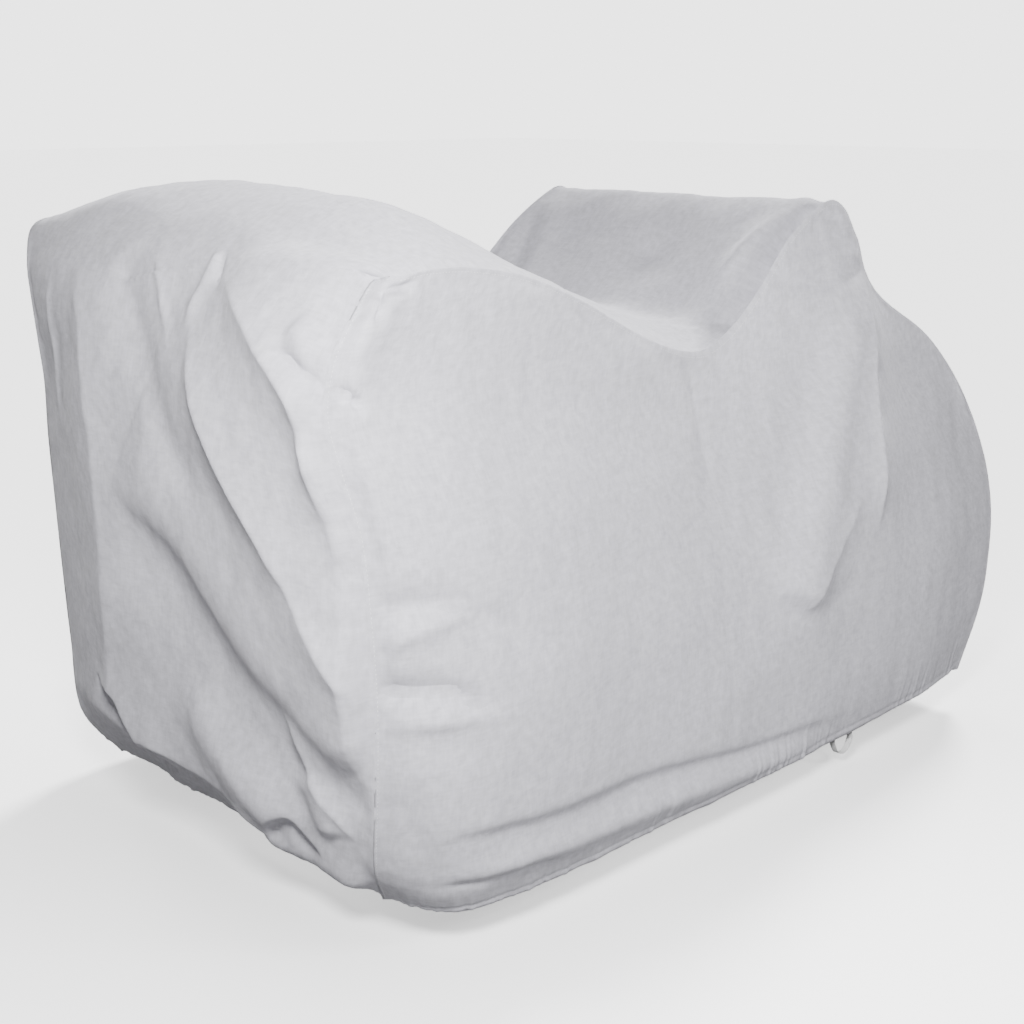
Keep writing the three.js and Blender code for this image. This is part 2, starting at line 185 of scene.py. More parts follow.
# Sections of the centre panel from the rear hem to the front hem: the right seam's point, the point of the
# middle line, how square the bow between the seams is, and how the left seam departs from the right one
SECTION_COLUMNS = ("x", "half", "z", "spine_x", "spine_z", "square", "left_shift", "left_lift")
SECTIONS = np.array([
    [-866, 456, 78, -850, 78, 4, 30, 8],
    [-932, 512, 180, -946, 190, 4, 40, 0],
    [-956, 548, 330, -970, 330, 4, 70, 0],
    [-962, 560, 500, -985, 500, 4, 74, 0],
    [-968, 556, 650, -990, 650, 4, 72, 0],
    [-975, 545, 780, -992, 790, 4, 68, 0],
    [-1000, 525, 900, -992, 900, 4, 82, 0],
    [-1012, 515, 975, -988, 985, 4, 82, 0],
    [-996, 516, 1060, -980, 1070, 4, 58, 4],
    [-966, 528, 1124, -968, 1140, 4, 30, 16],
    [-956, 570, 1188, -945, 1200, 4, 58, 16],
    [-868, 534, 1180, -890, 1258, 4, 12, 42],
    [-800, 520, 1182, -815, 1292, 4, 20, 30],
    [-700, 508, 1176, -715, 1302, 4, 20, 16],
    [-550, 490, 1150, -555, 1250, 3, 20, -6],
    [-390, 472, 1096, -390, 1177, 2.5, 20, -16],
    [-155, 450, 992, -130, 1090, 2.2, 0, -12],
    [17, 435, 951, 60, 1028, 2.2, 0, 0],
    [120, 432, 985, 170, 1005, 2.2, 0, 0],
    [212, 430, 1058, 250, 1050, 2.2, 8, 0],
    [324, 424, 1165, 345, 1132, 2.2, 12, -8],
    [430, 418, 1223, 440, 1215, 2.2, 6, -4],
    [494, 415, 1238, 496, 1239, 2.2, 0, 0],
    [546, 418, 1206, 546, 1206, 2.2, 0, 0],
    [656, 425, 1032, 650, 1050, 3, 0, 0],
    [851, 460, 902, 840, 925, 3, 0, 0],
    [944, 500, 775, 955, 800, 3, 0, 0],
    [1024, 530, 605, 1032, 620, 3, 0, 0],
    [1024, 560, 471, 1042, 480, 3, 0, 0],
    [990, 578, 328, 1025, 335, 3, 0, 0],
    [964, 578, 230, 1000, 235, 3, 0, 0],
    [912, 562, 85, 945, 85, 3, 0, 0],
], float)
EAR_SECTION = 10
EAR_SHIFT = np.array([50.0, 60.0, -9.0])  # how the near ear's corner lies inside that of the table
EAR_SHIFT_REACH = 55
EAR_TUCK = np.array([14.0, 17.0, -3.0])  # way that this corner is then tucked in
EAR_DROP = 113  # how far the ear's facet reaches down the rear seam
EAR_RUN = 122  # how far it reaches along the top seam
EAR_SPREAD = 70  # how far the centre panel follows it
NOSE_SECTION = 26

# Hem of a side panel: x, distance from the middle, z
HEM = np.array([
    [-866, 456, 78],
    [-852, 520, 72],
    [-815, 575, 66],
    [-740, 604, 64],
    [-570, 612, 66],
    [-200, 612, 68],
    [200, 606, 68],
    [600, 592, 72],
    [800, 578, 78],
    [880, 568, 82],
    [912, 562, 85],
], float)

# How a seam's corner is rounded off: section, depth and width of the rounding, depth of the seam line
SEAM_FORM = np.array([
    [0, 4, 18, 0.5],
    [6, 4, 18, 0.6],
    [7, 4, 18, 2.6],
    [9, 4, 18, 2.6],
    [10, 2, 12, 1.2],
    [11, 5, 34, 0.7],
    [13, 9, 60, 0.5],
    [16, 8, 45, 0.6],
    [17, 4, 22, 5.5],
    [18, 3, 16, 7.0],
    [19, 2, 12, 4.0],
    [22, 3, 14, 0.8],
    [24, 7, 34, 0.8],
    [31, 6, 26, 1.0],
], float)

# Valley of the centre panel along the near seam at the front peak
VALLEY_SECTIONS = [17, 18, 19, 20, 21, 22]
VALLEY_DEPTHS = [0, 14, 32, 56, 38, 0]
VALLEY_WIDTH = 36

# A crease follows a smooth line through its points and dies away at its ends, over the shares fade_in and
# fade_out of its length. A fold is rounded, and a trough if its height is below 0; sharp is 1 for a crisp
# edge and 2 for a soft one. A lap is raised on the right of its line and sunk on the left, for a line that
# runs down the rear as seen from outside; sharp is the width of its step, and low the depth of its sunk side
# as a share of its height. A ridge has a crisp crest that falls to the right over width and to the left over
# sharp. A tent has a crisp edge and broad even sides.
Crease = namedtuple("Crease", "kind height width sharp fade_in fade_out points low", defaults=[0.6])

# Rear end of the centre panel: points are (y, z)
REAR_CREASES = [
    # Upright edge near the left corner
    Crease("tent", 46, 430, 0, 0.14, 0.08,
           [(256, 1225), (250, 1188), (245, 1108), (220, 1040), (200, 912), (180, 749), (184, 598),
            (198, 475), (215, 353), (228, 263), (236, 170)]),
    # Ridge from the peak down to the right seam, and the short one that goes on beside the seam
    Crease("ridge", 54, 110, 60, 0.35, 0.08,
           [(-150, 1195), (-205, 1162), (-288, 1122), (-369, 1074), (-440, 1024), (-500, 972), (-550, 925),
            (-590, 885)]),
    Crease("ridge", 40, 40, 28, 0.3, 0.2,
           [(-462, 955), (-490, 925), (-510, 890), (-525, 840), (-542, 780), (-556, 720)]),
    # Long diagonal ridge
    Crease("ridge", 54, 110, 78, 0.3, 0.06,
           [(-90, 1150), (-110, 1115), (-165, 1015), (-285, 867), (-345, 792), (-405, 716), (-500, 575),
            (-540, 524), (-580, 461), (-605, 425)]),
    # Broad low diagonal and its fork
    Crease("lap", 46, 150, 80, 0.2, 0.08,
           [(160, 765), (133, 748), (62, 717), (-62, 649), (-141, 587), (-212, 524), (-291, 477),
            (-346, 446), (-424, 406), (-492, 370), (-570, 315)], 0.9),
    Crease("ridge", 17, 45, 22, 0.3, 0.2,
           [(-340, 455), (-355, 419), (-380, 361), (-402, 311), (-434, 274), (-490, 215)]),
    Crease("fold", -9, 34, 1.8, 0.3, 0.3, [(-377, 715), (-470, 650), (-556, 595)]),
    # Hollow, ridges and pleats below the top edge, and the puckers and the dip beside the right seam
    Crease("fold", -14, 50, 1.8, 0.1, 0.3, [(138, 1190), (109, 1149), (61, 1054), (-79, 854), (-192, 747)]),
    Crease("fold", 6, 10, 1.4, 0.2, 0.5, [(24, 1195), (21, 1179), (-6, 1140), (-27, 1095), (-60, 1030)]),
    Crease("fold", 10, 14, 1.3, 0.15, 0.4, [(-150, 1215), (-138, 1162), (-119, 1118), (-109, 1060)]),
    Crease("fold", -10, 9, 1.5, 0.2, 0.4, [(-158, 1205), (-166, 1175), (-180, 1140)]),
    Crease("fold", 6, 11, 1.3, 0.2, 0.3, [(362, 1150), (366, 1130), (380, 1081), (386, 924), (390, 800)]),
    Crease("fold", -20, 11, 1.5, 0.4, 0.1, [(-410, 1072), (-433, 1060), (-473, 1040), (-520, 1010)]),
    Crease("fold", 14, 20, 1.6, 0.3, 0.2, [(-430, 1100), (-470, 1082), (-515, 1055)]),
    Crease("fold", -15, 15, 1.6, 0.3, 0.3,
           [(-478, 1158), (-490, 1120), (-494, 1070), (-496, 1020), (-498, 965)]),
    # Bulge above the hem, pocket at the hem's left end, edges where the cloth turns under, hanging lobe and
    # fullness of the hem
    Crease("fold", 30, 72, 1.8, 0.3, 0.3, [(-10, 410), (-120, 310), (-250, 225), (-360, 185)]),
    Crease("lap", 8, 62, 7, 0.2, 0.15,
           [(290, 348), (259, 329), (216, 316), (182, 271), (138, 212), (105, 160)], 6.5),
    Crease("lap", 8, 42, 6, 0.12, 0.2,
           [(150, 242), (130, 236), (82, 227), (16, 210), (-79, 200), (-197, 173), (-240, 164)], 4.2),
    Crease("lap", 6, 32, 5, 0.2, 0.2,
           [(-226, 160), (-255, 195), (-287, 213), (-316, 215), (-337, 187), (-375, 160)], 4.2),
    Crease("fold", 14, 34, 2.2, 0.25, 0.2, [(-365, 330), (-405, 260), (-425, 205)]),
    Crease("fold", 26, 34, 2.0, 0.2, 0.2, [(-90, 160), (-200, 146), (-330, 134), (-430, 134), (-500, 150)]),
]

# Top of the centre panel: points are (x, y)
TOP_CREASES = [
    Crease("fold", 20, 40, 1.5, 0.4, 0.1, [(150, -280), (230, -295), (330, -318), (430, -355), (490, -392)]),
    Crease("fold", -7, 22, 1.5, 0.2, 0.4, [(190, -420), (150, -350), (110, -260)]),
    Crease("fold", 6, 40, 1.6, 0.3, 0.3, [(180, 250), (300, 300), (440, 380)]),
    Crease("fold", -9, 34, 1.6, 0.3, 0.3, [(160, 320), (280, 350), (420, 395)]),
    Crease("fold", -5, 26, 1.5, 0.4, 0.4, [(250, -200), (330, 0), (360, 180)]),
]

# Front end of the centre panel: points are (y, z)
FRONT_CREASES = [
    Crease("ridge", 26, 110, 70, 0.3, 0.2, [(-330, 800), (-290, 620), (-190, 420), (-60, 200)]),
    Crease("ridge", 28, 70, 110, 0.3, 0.2, [(380, 780), (330, 600), (230, 400), (90, 190)]),
    Crease("fold", -16, 80, 1.8, 0.2, 0.25, [(-460, 700), (-420, 480), (-330, 230)]),
    Crease("fold", -18, 75, 1.8, 0.2, 0.25, [(470, 660), (440, 460), (350, 220)]),
    Crease("fold", 12, 90, 1.8, 0.25, 0.25, [(30, 560), (20, 400), (10, 200)]),
    Crease("fold", -10, 30, 1.5, 0.2, 0.3, [(120, 150), (60, 230), (20, 330)]),
    Crease("fold", 9, 34, 1.5, 0.25, 0.3, [(-520, 560), (-440, 380), (-390, 190)]),
]

# Side panels: points are (x, z)
RIGHT_CREASES = [
    # Edge above the hem, where the full side turns under
    Crease("lap", 9, 60, 12, 0.3, 0.1,
           [(420, 120), (213, 150), (-1, 165), (-199, 195), (-381, 219), (-635, 234), (-847, 253),
            (-915, 235)], 0.9),
    Crease("fold", 17, 32, 1.8, 0.15, 0.25,
           [(-890, 165), (-700, 160), (-450, 145), (-200, 128), (100, 108), (300, 96)]),
    Crease("fold", -9, 14, 1.4, 0.25, 0.4, [(-899, 152), (-811, 146), (-688, 136), (-560, 118)]),
    Crease("fold", -6, 26, 1.5, 0.3, 0.3, [(-952, 394), (-911, 255), (-856, 115)]),
    # Creases that run in from the rear seam
    Crease("fold", -17, 26, 1.5, 0.15, 0.7,
           [(-1000, 640), (-972, 660), (-870, 664), (-757, 611), (-650, 525), (-575, 465)]),
    Crease("fold", 14, 19, 1.3, 0.3, 0.6,
           [(-985, 595), (-960, 605), (-911, 626), (-814, 641), (-740, 630)]),
    Crease("fold", -17, 19, 1.5, 0.15, 0.5,
           [(-1000, 500), (-955, 522), (-873, 514), (-796, 472), (-740, 430)]),
    Crease("fold", 14, 17, 1.3, 0.3, 0.6,
           [(-975, 452), (-945, 466), (-870, 468), (-790, 461), (-720, 440)]),
    # Ridge below the front peak, the edge it hangs to, the ridge and the notch at its foot, and the small
    # creases around them
    Crease("fold", 26, 70, 2.0, 0.25, 0.06,
           [(505, 1150), (470, 1040), (410, 919), (330, 760), (235, 600), (180, 500), (140, 415)]),
    Crease("ridge", 28, 75, 36, 0.35, 0.25,
           [(545, 1110), (540, 1056), (500, 900), (480, 690), (465, 590), (450, 500)]),
    Crease("fold", -12, 80, 2.0, 0.3, 0.2, [(380, 1000), (300, 860), (210, 700), (110, 560)]),
    Crease("ridge", 22, 80, 75, 0.35, 0.15, [(430, 660), (349, 581), (255, 500), (156, 416), (130, 395)]),
    Crease("fold", -6, 30, 1.6, 0.3, 0.4, [(130, 405), (200, 416), (288, 419), (421, 447)]),
    Crease("fold", -7, 14, 1.5, 0.15, 0.2, [(195, 1095), (289, 1079), (373, 1083), (580, 1088)]),
    Crease("fold", 6, 22, 1.6, 0.15, 0.2, [(215, 1125), (300, 1110), (390, 1114), (570, 1120)]),
    Crease("fold", -6, 9, 1.5, 0.2, 0.3, [(390, 1208), (455, 1207), (525, 1192)]),
    Crease("fold", -6, 24, 1.5, 0.2, 0.5, [(-23, 960), (-53, 782), (-46, 640)]),
    # Pucker that crosses the rear seam, and the ear at the rear top corner
    Crease("fold", -24, 8, 1.5, 0.1, 0.5, [(-1012, 1018), (-985, 1004), (-950, 984)]),
    Crease("fold", -16, 8, 1.6, 0.1, 0.4, [(-922, 1170), (-895, 1167), (-860, 1168), (-825, 1175)]),
    Crease("fold", -12, 9, 1.6, 0.1, 0.4, [(-912, 1168), (-922, 1145), (-938, 1110)]),
]
LEFT_CREASES = [
    Crease("fold", -14, 30, 1.4, 0.1, 0.25, [(-900, 180), (-700, 235), (-300, 215), (100, 165), (520, 125)]),
    Crease("fold", 18, 75, 1.5, 0.15, 0.25, [(515, 1200), (500, 980), (380, 720), (210, 500)]),
    Crease("fold", -20, 75, 1.7, 0.15, 0.25, [(640, 1080), (570, 860), (500, 560)]),
    Crease("fold", -12, 50, 1.4, 0.15, 0.3, [(-890, 920), (-760, 720), (-560, 430)]),
    Crease("fold", -9, 60, 1.6, 0.2, 0.3, [(-120, 920), (-90, 700), (-40, 480)]),
    Crease("fold", -8, 30, 1.4, 0.2, 0.4, [(-900, 560), (-800, 590), (-640, 570)]),
    Crease("fold", 7, 36, 1.4, 0.2, 0.4, [(-880, 380), (-640, 420), (-380, 370)]),
]


def column(name):
    return SECTION_COLUMNS.index(name)


def chord_lengths(points):
    steps = np.linalg.norm(np.diff(points, axis=0), axis=1)
    return np.concatenate([[0.0], np.cumsum(steps)])


SECTION_AT = chord_lengths(SECTIONS[:, :3])
HEM_AT = chord_lengths(HEM)
PANEL_END = SECTION_AT[-1]
EAR_AT = SECTION_AT[EAR_SECTION]
NOSE_AT = SECTION_AT[NOSE_SECTION]


def smooth_step(value, low, high):
    share = np.clip((value - low) / (high - low), 0, 1)
    return share * share * (3 - 2 * share)


def in_metres(points):
    """Points in metres from the origin, for points in millimetres above the ground."""
    return (points - np.array([0, 0, HOLD_HEIGHT])) / MM_PER_M


def unit(vectors):
    return vectors / np.maximum(np.linalg.norm(vectors, axis=-1, keepdims=True), TINY)


def curve_through(rows, knots, at):
    """Smooth curve through the rows of a table; the result has one more axis than at."""
    at = np.asarray(at, float)
    slopes = np.empty_like(rows)
    slopes[1:-1] = (rows[2:] - rows[:-2]) / (knots[2:] - knots[:-2])[:, None]
    slopes[0] = (rows[1] - rows[0]) / (knots[1] - knots[0])
    slopes[-1] = (rows[-1] - rows[-2]) / (knots[-1] - knots[-2])
    before = np.clip(np.searchsorted(knots, at, side="right") - 1, 0, len(knots) - 2)
    after = before + 1
    span = (knots[after] - knots[before])[..., None]
    share = np.clip((at - knots[before])[..., None] / span, 0, 1)
    return (
        rows[before] * (2 * share**3 - 3 * share**2 + 1)
        + slopes[before] * span * (share**3 - 2 * share**2 + share)
        + rows[after] * (3 * share**2 - 2 * share**3)
        + slopes[after] * span * (share**3 - share**2)
    )


def seam_point(at, side):
    row = curve_through(SECTIONS, SECTION_AT, at)
    left = 1.0 if side > 0 else 0.0
    x = row[..., column("x")] + left * row[..., column("left_shift")]
    z = row[..., column("z")] + left * row[..., column("left_lift")]
    point = np.stack([x, side * row[..., column("half")], z], -1)
    if side > 0:
        return point
    share = np.exp(-(((np.asarray(at, float) - EAR_AT) / EAR_SHIFT_REACH) ** 2))
    return point + share[..., None] * EAR_SHIFT


def hem_point(share, side):
    share = np.asarray(share, float)
    row = curve_through(HEM, HEM_AT, share * HEM_AT[-1])
    mirror = np.array([1.0, side, 1.0])
    start = HEM[0] * mirror
    return row * mirror + (seam_point(0.0, side) - start) * ((1 - share) ** END_DECAY)[..., None]


def centre_point(at, across):
    row = curve_through(SECTIONS, SECTION_AT, at)
    right = seam_point(at, -1)
    left = seam_point(at, 1)
    spine = np.stack([row[..., column("spine_x")], np.zeros(row.shape[:-1]), row[..., column("spine_z")]], -1)
    bow = spine - (right + left) / 2
    share = 1 - np.abs(across) ** row[..., column("square")]
    blend = ((across + 1) / 2)[..., None]
    return right * (1 - blend) + left * blend + bow * share[..., None]


def side_point(run, rise, side):
    def straight(share):
        low = hem_point(share, side)
        top = seam_point(EAR_AT + (NOSE_AT - EAR_AT) * share, side)
        return low * (1 - rise[..., None]) + top * rise[..., None]

    rear = seam_point(rise * EAR_AT, side) - straight(np.zeros_like(run))
    front = seam_point(PANEL_END + (NOSE_AT - PANEL_END) * rise, side) - straight(np.ones_like(run))
    point = straight(run)
    point = point + rear * ((1 - run) ** END_DECAY)[..., None] + front * (run**END_DECAY)[..., None]
    ramp = smooth_step(np.minimum(run, 1 - run), 0, SIDE_BULGE_RAMP)
    point[..., 1] += side * SIDE_BULGE * ramp * np.sin(math.pi * rise**SIDE_BULGE_SKEW)
    return point


def seam_way_out(at, side):
    """Direction out of the cover at a seam, midway between its two panels."""
    at = np.clip(np.asarray(at, float), 2 * WAY_STEP, PANEL_END - 2 * WAY_STEP)
    edge = np.full_like(at, float(side))
    along = centre_point(at + WAY_STEP, edge) - centre_point(at - WAY_STEP, edge)
    inward = centre_point(at, edge * WAY_INWARD) - centre_point(at, edge)
    normal = unit(np.cross(along, inward) * side)
    flank = np.array([0.0, float(side), 0.0])
    return unit(normal + flank)


def grid_normals(grid, turn):
    rising = grid[1:, 1:] - grid[:-1, :-1]
    falling = grid[:-1, 1:] - grid[1:, :-1]
    area = np.cross(rising, falling) * turn
    normals = np.zeros_like(grid)
    normals[:-1, :-1] += area
    normals[1:, :-1] += area
    normals[1:, 1:] += area
    normals[:-1, 1:] += area
    return unit(normals)


def spaced(count, knots, steps):
    """Values from 0 to 1 in count steps whose sizes follow the given shares."""
    middle = (np.arange(count) + 0.5) / count
    sizes = np.interp(middle, knots, steps)
    values = np.concatenate([[0.0], np.cumsum(sizes)])
    return values / values[-1]


def crease_height(crease, a, b):
    """Height of a crease over the plane (a, b)."""
    points = np.array(crease.points, float)
    knots = chord_lengths(points)
    line = curve_through(points, knots, np.linspace(0, knots[-1], CREASE_STEPS * len(points)))
    reach = CREASE_REACH * crease.width
    near = (
        (a > line[:, 0].min() - reach)
        & (a < line[:, 0].max() + reach)
        & (b > line[:, 1].min() - reach)
        & (b < line[:, 1].max() + reach)
    )
    height = np.zeros_like(a)
    if not near.any():
        return height
    near_a, near_b = a[near], b[near]
    best = np.full(near_a.shape, np.inf)
    aside = np.zeros_like(near_a)
    along = np.zeros_like(near_a)
    lengths = chord_lengths(line)
    for start, end, start_length in zip(line[:-1], line[1:], lengths):
        step_a, step_b = end - start
        from_a, from_b = near_a - start[0], near_b - start[1]
        length = math.hypot(step_a, step_b)
        share = np.clip((from_a * step_a + from_b * step_b) / length**2, 0, 1)
        distance = np.hypot(from_a - share * step_a, from_b - share * step_b)
        closer = distance < best
        best = np.where(closer, distance, best)
        turn = np.sign(from_a * step_b - from_b * step_a)
        aside = np.where(closer, turn * distance, aside)
        along = np.where(closer, (start_length + share * length) / lengths[-1], along)
    fade = smooth_step(along, 0, crease.fade_in) * smooth_step(1 - along, 0, crease.fade_out)
    if crease.kind == "lap":
        low_share = np.where(aside > 0, 1.0, crease.low)
        profile = np.tanh(aside / crease.sharp) * np.exp(-np.abs(aside) / crease.width) * low_share
    elif crease.kind == "ridge":
        profile = np.exp(-np.abs(aside) / np.where(aside > 0, crease.width, crease.sharp))
    elif crease.kind == "tent":
        profile = np.maximum(0, 1 - np.abs(aside) / crease.width) ** 2
    else:
        profile = np.exp(-np.abs(aside / crease.width) ** crease.sharp)
    height[near] = crease.height * fade * profile
    return height


def creases_height(creases, a, b):
    return sum(crease_height(crease, a, b) for crease in creases)


def ripple(a, b, length, seed):
    """Smooth uneven waves of about unit height over the plane (a, b)."""
    draw = np.random.default_rng(seed)
    total = np.zeros_like(a)
    for _ in range(RIPPLE_WAVES):
        angle = draw.uniform(0, 2 * math.pi)
        number = 2 * math.pi / (length * draw.uniform(*RIPPLE_SPREAD))
        phase = draw.uniform(0, 2 * math.pi)
        total = total + np.sin(number * (a * math.cos(angle) + b * math.sin(angle)) + phase)
    return total / math.sqrt(RIPPLE_WAVES / 2)


def swell(a, b, lengths, seed):
    """Uneven swell of the cloth over the plane (a, b), of long and short waves."""
    return LONG_SWELL * ripple(a, b, lengths[0], seed) + SHORT_SWELL * ripple(a, b, lengths[1], seed + 1)


def uneven_wave(along, length, seed):
    """Irregular wave of about unit height along a line."""
    draw = np.random.default_rng(seed)
    total = np.zeros_like(along)
    for share in WAVE_SHARES:
        total = total + np.sin(2 * math.pi * along / (length * share) + draw.uniform(0, 2 * math.pi))
    return total / math.sqrt(len(WAVE_SHARES))


def seam_depth(distance, at):
    """How far the cloth beside a seam is drawn in: the rounded corner and the line of the stitches."""
    places = SECTION_AT[SEAM_FORM[:, 0].astype(int)]
    depth, width, line_depth = (np.interp(at, places, values) for values in SEAM_FORM[:, 1:].T)
    rounding = depth * np.exp(-((distance / width) ** 2))
    return -rounding - line_depth * np.exp(-((distance / SEAM_LINE_WIDTH) ** 2))


def valley_depth(distance, at):
    """Depth of the valley beside the near seam, deepest at VALLEY_WIDTH from it."""
    depth = np.interp(at, SECTION_AT[VALLEY_SECTIONS], VALLEY_DEPTHS)
    share = distance / VALLEY_WIDTH
    return depth * share * np.exp((1 - share**2) / 2)


def ear_share(below, ahead):
    """Share of the ear's tuck at a distance below and ahead of the corner; its facet is flat."""
    return np.maximum(0, 1 - below / EAR_DROP - ahead / EAR_RUN)[..., None]


def pucker(distance, along, seed):
    """Small waves of the cloth beside a seam."""
    grow = (distance / PUCKER_REACH) * np.exp(1 - distance / PUCKER_REACH)
    return PUCKER_HEIGHT * grow * uneven_wave(along, PUCKER_LENGTH, seed)


def hem_height(distance, along, seed):
    """Roll of the hem's edge, line of its casing and gathers above it."""
    roll = -HEM_ROLL * np.exp(-((distance / HEM_ROLL_WIDTH) ** 2))
    line = -CASING_DEPTH * np.exp(-(((distance - HEM_CASING) / CASING_WIDTH) ** 2))
    strength = (1 + np.clip(uneven_wave(along, GATHER_PATCH, seed + 1), -1, 1)) / 2
    waves = uneven_wave(along, GATHER_LENGTH, seed)
    gather = GATHER_HEIGHT * strength * np.exp(-distance / GATHER_REACH) * waves
    return roll + line + gather * smooth_step(distance, *GATHER_START)


def lengths_along(grid, axis):
    """Distance from the first line of a grid to each of its points, along the given axis."""
    steps = np.linalg.norm(np.diff(grid, axis=axis), axis=-1)
    pad = [(0, 0), (0, 0)]
    pad[axis] = (1, 0)
    return np.cumsum(np.pad(steps, pad), axis=axis)


def move_edges_back(grid, edges):
    """Moves edges of a grid back from the seam line towards the next line of points."""
    moved = grid.copy()
    for edge, beside in edges:
        moved[edge] = grid[edge] + unit(grid[beside] - grid[edge]) * SEAM_BACK
    return moved


def rim_faces(fine, low, turn):
    """Triangles between the fine edge of a sheet's outer side and the coarse edge of its inner side."""
    turn_at = INNER_STEP // 2 + 1
    faces = []
    for k, base in enumerate(low):
        following = low[(k + 1) % len(low)]
        stretch = [fine[(k * INNER_STEP + q) % len(fine)] for q in range(INNER_STEP + 1)]
        for q in range(INNER_STEP):
            foot = base if q < turn_at else following
            faces.append((int(stretch[q]), int(foot), int(stretch[q + 1])))
        faces.append((int(base), int(following), int(stretch[turn_at])))
    return [face[::-1] for face in faces] if turn < 0 else faces


def edge_loop(index):
    """Numbers of a grid's points once round its edge."""
    return np.concatenate([index[:-1, 0], index[-1, :-1], index[:0:-1, -1], index[0, :0:-1]])


def placed(name, data):
    """New object of the scene, for a mesh, a light or a camera."""
    obj = bpy.data.objects.new(name, data)
    bpy.context.scene.collection.objects.link(obj)
    return obj


def cloth_object(name, outer, out_ways, turn, material, lengths_u, lengths_v):
    """Closed sheet under an outer grid, with a coarser inner side and a flat rim."""
    rows, columns = outer.shape[:2]
    coarse = (slice(None, None, INNER_STEP), slice(None, None, INNER_STEP))
    inner = (outer - out_ways * CLOTH)[coarse]
    verts = in_metres(np.concatenate([outer.reshape(-1, 3), inner.reshape(-1, 3)]))

    index = np.arange(rows * columns).reshape(rows, columns)
    faces = np.stack([index[:-1, :-1], index[1:, :-1], index[1:, 1:], index[:-1, 1:]], -1).reshape(-1, 4)
    low = rows * columns + np.arange(inner.shape[0] * inner.shape[1]).reshape(inner.shape[:2])
    under = np.stack([low[:-1, :-1], low[:-1, 1:], low[1:, 1:], low[1:, :-1]], -1).reshape(-1, 4)
    quads = np.concatenate([faces, under])
    if turn < 0:
        quads = quads[:, ::-1]

    rim = rim_faces(edge_loop(index), edge_loop(low), turn)

    mesh = bpy.data.meshes.new(name)
    mesh.from_pydata(verts.tolist(), [], quads.tolist() + rim)
    smooth = np.ones(len(mesh.polygons), bool)
    smooth[len(quads):] = False
    mesh.polygons.foreach_set("use_smooth", smooth)
    flat = np.stack([lengths_u, lengths_v], -1)
    flat = np.concatenate([flat.reshape(-1, 2), flat[coarse].reshape(-1, 2)]) / MM_PER_M
    layer = mesh.uv_layers.new(name="cut")
    corner = np.empty(len(mesh.loops), int)
    mesh.loops.foreach_get("vertex_index", corner)
    layer.data.foreach_set("uv", flat[corner].ravel())
    mesh.materials.append(material)
    mesh.validate()
    mesh.update()
    return placed(name, mesh)


def centre_outer():
    """Outer side of the centre panel, the ways out of its rim, and the lengths along and across its cloth."""
    rear = np.linspace(0, EAR_AT, CENTRE_REAR_ROWS + 1)
    top = np.linspace(EAR_AT, NOSE_AT, CENTRE_TOP_ROWS + 1)[1:]
    front = np.linspace(NOSE_AT, PANEL_END, CENTRE_FRONT_ROWS + 1)[1:]
    row_at = np.concatenate([rear, top, front])
    shares = spaced(CENTRE_COLUMNS, *CENTRE_SPACING)
    at, across = np.meshgrid(row_at, 2 * shares - 1, indexing="ij")
    plain = centre_point(at, across)
    normals = grid_normals(plain, 1)
    from_right = lengths_along(plain, 1)
    from_left = from_right[:, -1:] - from_right
    from_hem = lengths_along(plain, 0)
    to_hem = from_hem[-1:] - from_hem
    y, z = plain[..., 1], plain[..., 2]
    calm = smooth_step(np.minimum(from_right, from_left), 0, CENTRE_CALM)
    rear_share = 1 - smooth_step(at, EAR_AT, EAR_AT + REAR_REACH)
    front_share = smooth_step(at, NOSE_AT - FRONT_REACH, NOSE_AT)
    top_share = smooth_step(at, EAR_AT, EAR_AT + REAR_REACH) * (1 - front_share)
    height = (
        rear_share * creases_height(REAR_CREASES, y, z)
        + front_share * creases_height(FRONT_CREASES, y, z)
        + top_share * creases_height(TOP_CREASES, plain[..., 0], y)
    )
    height = height + swell(at, y, CENTRE_SWELL_LENGTHS, CENTRE_SWELL_SEED)
    height = height + hem_height(from_hem, from_right, REAR_HEM_SEED)
    height = height + hem_height(to_hem, from_right, FRONT_HEM_SEED)
    height = calm * height - valley_depth(from_right, at)
    grid = plain + normals * height[..., None]
    tuck = ear_share(np.maximum(0, EAR_AT - at), np.maximum(0, at - EAR_AT))
    grid = grid + tuck * np.exp(-((from_right / EAR_SPREAD) ** 2))[..., None] * EAR_TUCK
    for side, distance in ((-1, from_right), (1, from_left)):
        way = seam_way_out(row_at, side)[:, None, :]
        grid = grid + normals * pucker(distance, at, CENTRE_PUCKER_SEED + side)[..., None]
        grid = grid + way * seam_depth(distance, at)[..., None]
    out = grid_normals(grid, 1)
    for side, distance in ((-1, from_right), (1, from_left)):
        way = seam_way_out(row_at, side)[:, None, :]
        weight = np.exp(-((distance / RIM_BLEND) ** 2))[..., None]
        out = unit(out * (1 - weight) + way * weight)
    every = slice(None)
    grid = move_edges_back(grid, [((every, 0), (every, 1)), ((every, -1), (every, -2))])
    return grid, out, at, from_right


